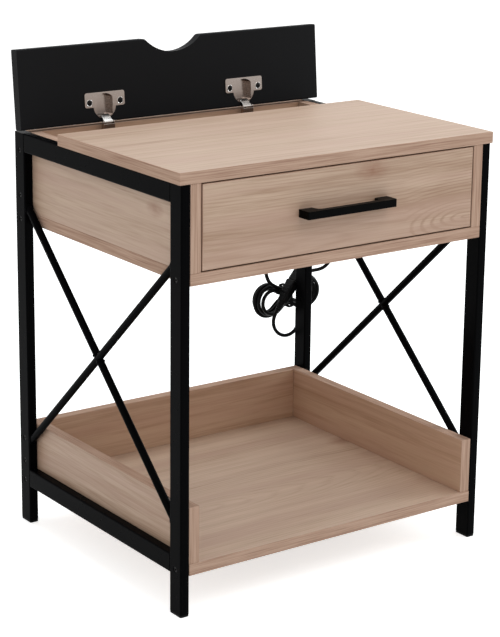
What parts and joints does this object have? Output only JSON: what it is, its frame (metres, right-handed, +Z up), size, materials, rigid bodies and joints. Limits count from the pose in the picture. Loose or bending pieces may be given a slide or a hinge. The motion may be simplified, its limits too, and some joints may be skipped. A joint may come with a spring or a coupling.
{
  "type": "nightstand",
  "caption": "Nightstand of two steel side frames with a drawer, an open tray, a hinged rear flap over a cable compartment, and a power strip.",
  "frame": {"origin": "on the floor, in the middle of the width, midway between the handle's front and the back of the legs", "axes": "+X to the right seen from the front, +Y to the back, +Z up"},
  "size_m": [0.564, 0.4761, 0.6541],
  "materials": {
    "frame_steel": "satin black powder coat",
    "board_face": "pale oak printed board, matt",
    "board_inner": "pale oak printed board, matt",
    "flap_board": "black wood-grain board, satin",
    "glide_plastic": "moulded",
    "screw_black": "black oxide",
    "screw_zinc": "zinc plated",
    "runner_zinc": "zinc plated",
    "ball_steel": "polished",
    "handle_metal": "satin black",
    "hinge_nickel": "nickel plated",
    "strip_plastic": "moulded",
    "strip_face": "moulded",
    "cord_cover": "smooth cable sheath",
    "plug_plastic": "moulded"
  },
  "bodies": {
    "stand": {"left_leg_front": "frame_steel", "left_leg_rear": "frame_steel", "left_rail_top": "frame_steel", "left_rail_bottom": "frame_steel", "left_brace_long": "frame_steel", "left_brace_halves": "frame_steel", "right_leg_front": "frame_steel", "right_leg_rear": "frame_steel", "right_rail_top": "frame_steel", "right_rail_bottom": "frame_steel", "right_brace_long": "frame_steel", "right_brace_halves": "frame_steel", "foot_glides": "glide_plastic", "frame_screws": "screw_black", "case_bottom": "board_face", "case_side_left": "board_face", "case_side_right": "board_face", "case_back": "board_inner", "case_divider": "board_inner", "top_panel": "board_face", "tray_bottom": "board_face", "tray_side_left": "board_face", "tray_side_right": "board_face", "tray_back": "board_inner", "runner_left_cabinet": "runner_zinc", "runner_right_cabinet": "runner_zinc", "runner_screws": "screw_zinc", "hinge_left_arm": "hinge_nickel", "hinge_left_plate": "hinge_nickel", "hinge_right_arm": "hinge_nickel", "hinge_right_plate": "hinge_nickel", "hinge_plate_screws": "screw_zinc", "power_strip_body": "strip_plastic", "power_strip_sockets": "strip_face", "cord_grip": "cord_cover", "cord_lead": "cord_cover", "cord_hank": "cord_cover", "cord_tie": "plug_plastic", "cord_tail": "cord_cover", "plug": "plug_plastic"},
    "runner_left_middle": {"runner_left_middle": "runner_zinc", "runner_left_cages": "ball_steel"},
    "runner_right_middle": {"runner_right_middle": "runner_zinc", "runner_right_cages": "ball_steel"},
    "drawer": {"drawer_front": "board_face", "drawer_side_left": "board_inner", "drawer_side_right": "board_inner", "drawer_back": "board_inner", "drawer_bottom": "board_inner", "drawer_screws": "screw_zinc", "handle": "handle_metal", "handle_screws": "screw_zinc", "runner_left_drawer": "runner_zinc", "runner_right_drawer": "runner_zinc"},
    "hinge_left_link": {"hinge_left_link": "hinge_nickel"},
    "hinge_right_link": {"hinge_right_link": "hinge_nickel"},
    "flap": {"flap": "flap_board", "hinge_left_cup": "hinge_nickel", "hinge_right_cup": "hinge_nickel", "hinge_cup_screws": "screw_zinc"}
  },
  "joints": [
    {"name": "drawer_slide", "type": "slide", "parent": "stand", "child": "drawer", "axis": [0, -1, 0], "range_m": [0, 0.24]},
    {"name": "runner_left_slide", "type": "slide", "parent": "stand", "child": "runner_left_middle", "axis": [0, -1, 0], "range_m": [0, 0.12]},
    {"name": "runner_right_slide", "type": "slide", "parent": "stand", "child": "runner_right_middle", "axis": [0, -1, 0], "range_m": [0, 0.12]},
    {"name": "hinge_left_turn", "type": "hinge", "parent": "stand", "child": "hinge_left_link", "pos_m": [-0.114, 0.179, 0.5495], "axis": [1, 0, 0], "range_deg": [-39.6, 0]},
    {"name": "flap_hinge", "type": "hinge", "parent": "hinge_left_link", "child": "flap", "pos_m": [-0.114, 0.18951, 0.55672], "axis": [1, 0, 0], "range_deg": [0, 134.5]},
    {"name": "hinge_right_turn", "type": "hinge", "parent": "stand", "child": "hinge_right_link", "pos_m": [0.114, 0.179, 0.5495], "axis": [1, 0, 0], "range_deg": [-39.6, 0]}
  ],
  "couplings": [
    {"joint": "runner_left_slide", "follows": "drawer_slide", "ratio": 0.5},
    {"joint": "runner_right_slide", "follows": "drawer_slide", "ratio": 0.5},
    {"joint": "hinge_left_turn", "follows": "flap_hinge", "ratio": -0.29368},
    {"joint": "hinge_right_turn", "follows": "flap_hinge", "ratio": -0.29368}
  ]
}
